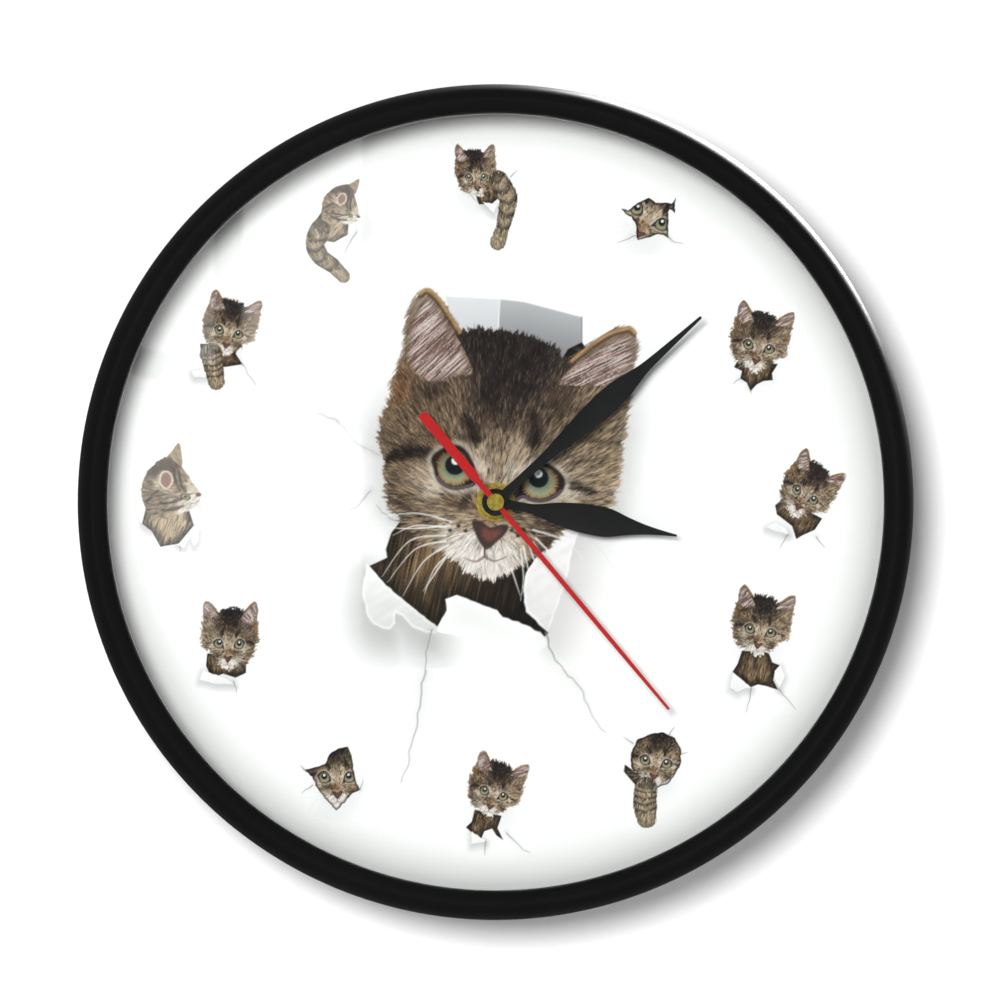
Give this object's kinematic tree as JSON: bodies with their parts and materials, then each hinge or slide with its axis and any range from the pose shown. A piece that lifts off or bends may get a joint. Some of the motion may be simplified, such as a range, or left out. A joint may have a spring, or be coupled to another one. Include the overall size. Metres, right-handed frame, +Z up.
{
  "type": "wall clock",
  "caption": "Round wall clock with a black ring frame, flat glass, leaf hands, a red second hand, a kitten-print dial and a battery quartz movement.",
  "frame": {"origin": "centre of the clock's box: on the hands' axis, halfway through the depth", "axes": "+Z up, the dial faces -Y, +Y points to the wall, +X right as seen from the front"},
  "size_m": [0.3, 0.044, 0.3],
  "materials": {
    "frame_black": "black gloss-lacquered moulded plastic",
    "clear_glass": "clear flat mineral glass",
    "white_plastic": "natural white moulded plastic",
    "dial_print": "printed dial, white ground with tabby kittens in torn paper",
    "fibreboard": "brown hardboard",
    "cover_black": "black moulded plastic, fine grain",
    "movement_black": "black moulded plastic",
    "steel": "zinc plated steel",
    "magnet": "sintered magnet",
    "brass": "polished brass",
    "copper": "enamelled copper wire",
    "rubber": "matt rubber",
    "board_green": "green solder mask",
    "chip_black": "black epoxy drop",
    "knob_grey": "fluted dark grey plastic",
    "hand_black": "black painted aluminium",
    "hand_red": "red painted aluminium",
    "cell_jacket": "plain printed jacket"
  },
  "bodies": {
    "case": {"frame_ring": "frame_black", "glass_lens": "clear_glass", "spacer_ring": "white_plastic", "dial_sheet": "dial_print", "backing_board": "fibreboard", "rear_cover": "cover_black", "rear_screw_1": "steel", "rear_screw_2": "steel", "rear_screw_3": "steel", "rear_screw_4": "steel", "rear_screw_5": "steel", "rear_screw_6": "steel", "hanger_plate": "steel", "hanger_screw_1": "steel", "hanger_screw_2": "steel", "movement_case": "movement_black", "movement_cover": "movement_black", "wheel_bridge": "movement_black", "bridge_screw_1": "steel", "bridge_screw_2": "steel", "threaded_bushing": "brass", "rubber_washer": "rubber", "brass_washer": "brass", "bushing_nut": "brass", "stator": "steel", "coil_core": "steel", "coil_bobbin": "white_plastic", "coil_winding": "copper", "circuit_board": "board_green", "control_chip": "chip_black", "quartz_crystal": "steel", "contact_positive": "steel", "contact_negative": "steel", "retaining_ring": "cover_black"},
    "minute_train": {"minute_pipe": "brass", "centre_wheel": "brass", "minute_collet": "brass", "minute_hand": "hand_black"},
    "hour_train": {"hour_wheel": "white_plastic", "hour_collet": "brass", "hour_hand": "hand_black"},
    "second_train": {"second_arbor": "steel", "second_wheel": "white_plastic", "second_hand": "hand_red", "second_hand_cap": "brass"},
    "third_train": {"third_wheel": "white_plastic"},
    "fifth_train": {"fifth_wheel": "white_plastic"},
    "rotor": {"rotor_magnet": "magnet", "rotor_pinion": "steel"},
    "minute_gear": {"minute_wheel": "white_plastic"},
    "setting": {"setting_stem": "brass", "setting_knob": "knob_grey"},
    "battery": {"battery_cell": "cell_jacket"}
  },
  "joints": [
    {"name": "minute_turn", "type": "hinge", "parent": "case", "child": "minute_train", "pos_m": [0, 0, 0], "axis": [0, 1, 0], "continuous": true},
    {"name": "hour_turn", "type": "hinge", "parent": "case", "child": "hour_train", "pos_m": [0, 0, 0], "axis": [0, 1, 0], "continuous": true},
    {"name": "second_turn", "type": "hinge", "parent": "case", "child": "second_train", "pos_m": [0, 0, 0], "axis": [0, 1, 0], "continuous": true},
    {"name": "third_turn", "type": "hinge", "parent": "case", "child": "third_train", "pos_m": [-0.00973, 0, 0.00681], "axis": [0, 1, 0], "continuous": true},
    {"name": "fifth_turn", "type": "hinge", "parent": "case", "child": "fifth_train", "pos_m": [0.00643, 0, 0.0054], "axis": [0, 1, 0], "continuous": true},
    {"name": "rotor_turn", "type": "hinge", "parent": "case", "child": "rotor", "pos_m": [0.01147, 0, 0.01141], "axis": [0, 1, 0], "continuous": true},
    {"name": "minute_gear_turn", "type": "hinge", "parent": "case", "child": "minute_gear", "pos_m": [-0.00156, 0, 0.00886], "axis": [0, 1, 0], "continuous": true},
    {"name": "setting_turn", "type": "hinge", "parent": "case", "child": "setting", "pos_m": [-0.00156, 0, 0.01786], "axis": [0, 1, 0], "continuous": true},
    {"name": "battery_slide", "type": "slide", "parent": "case", "child": "battery", "axis": [0, 1, 0], "range_m": [0, 0.03]}
  ],
  "couplings": [
    {"joint": "hour_turn", "follows": "minute_turn", "ratio": 0.083333},
    {"joint": "second_turn", "follows": "minute_turn", "ratio": 60},
    {"joint": "third_turn", "follows": "minute_turn", "ratio": -8},
    {"joint": "fifth_turn", "follows": "minute_turn", "ratio": -300},
    {"joint": "rotor_turn", "follows": "minute_turn", "ratio": 1800},
    {"joint": "minute_gear_turn", "follows": "minute_turn", "ratio": -0.33333},
    {"joint": "setting_turn", "follows": "minute_turn", "ratio": 1}
  ]
}
